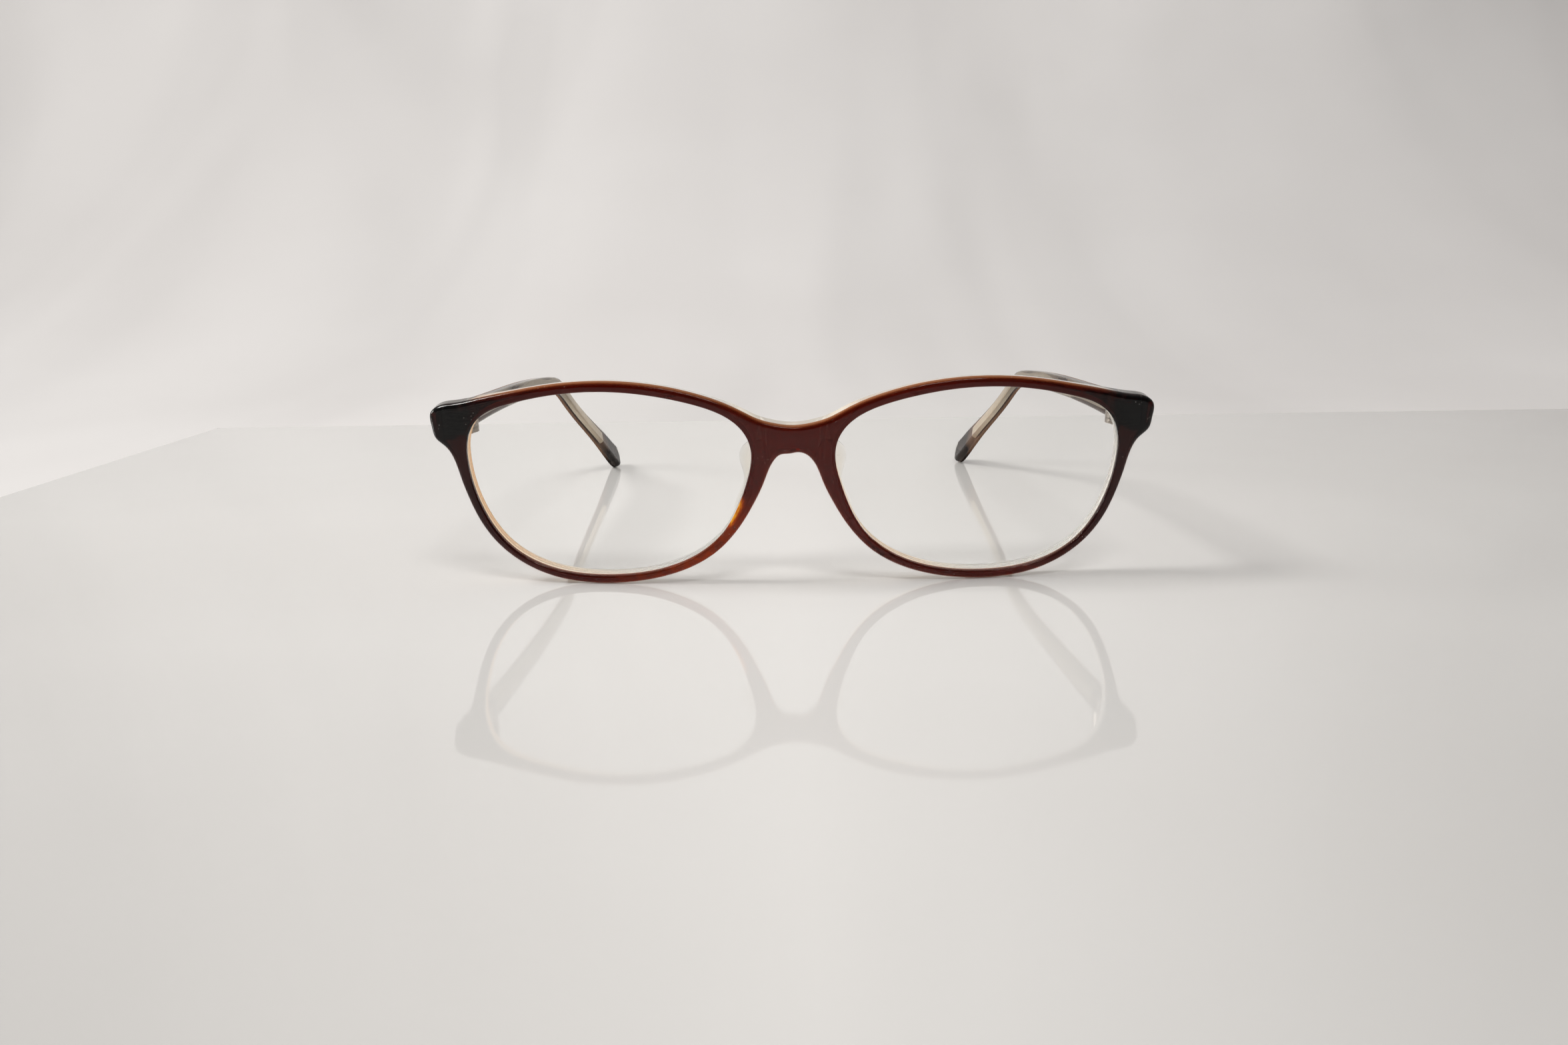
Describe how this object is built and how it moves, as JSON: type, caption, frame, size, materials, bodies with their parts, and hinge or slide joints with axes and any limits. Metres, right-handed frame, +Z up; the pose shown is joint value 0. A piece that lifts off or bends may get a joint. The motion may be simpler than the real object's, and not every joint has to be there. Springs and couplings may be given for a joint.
{
  "type": "full-rim eyeglasses",
  "caption": "Full-rim laminated plastic eyeglasses: a translucent brown front on a clear back layer, clear lenses, and two folding cored temples.",
  "frame": {"origin": "centre of the bounding box, on the table the glasses stand on", "axes": "+Z up, the front faces -Y and the temples run back along +Y, +X is the wearer's left"},
  "size_m": [0.135, 0.1412, 0.0393],
  "materials": {
    "brown_acetate": "polished translucent dark red-brown cellulose acetate, amber where thin",
    "clear_acetate": "polished clear cellulose acetate with a faint warm tint",
    "lens": "clear hard-coated resin lens",
    "hinge_metal": "nickel silver, satin",
    "screw_metal": "bright plated steel",
    "core_metal": "nickel silver wire, satin"
  },
  "bodies": {
    "front": {"front_colour_layer": "brown_acetate", "front_clear_layer": "clear_acetate", "lens_left": "lens", "lens_right": "lens", "nose_pad_left": "clear_acetate", "nose_pad_right": "clear_acetate", "front_hinge_leaf_left": "hinge_metal", "front_hinge_leaf_right": "hinge_metal", "hinge_screw_left": "screw_metal", "hinge_screw_right": "screw_metal"},
    "temple_left": {"temple_colour_layer_left": "brown_acetate", "temple_clear_layer_left": "clear_acetate", "temple_core_wire_left": "core_metal", "temple_hinge_leaf_left": "hinge_metal"},
    "temple_right": {"temple_colour_layer_right": "brown_acetate", "temple_clear_layer_right": "clear_acetate", "temple_core_wire_right": "core_metal", "temple_hinge_leaf_right": "hinge_metal"}
  },
  "joints": [
    {"name": "temple_left_hinge", "type": "hinge", "parent": "front", "child": "temple_left", "pos_m": [0.06099, -0.05973, 0.03161], "axis": [0, -0.1392, 0.9903], "range_deg": [0, 88]},
    {"name": "temple_right_hinge", "type": "hinge", "parent": "front", "child": "temple_right", "pos_m": [-0.06099, -0.05973, 0.03161], "axis": [0, 0.1392, -0.9903], "range_deg": [0, 84]}
  ]
}
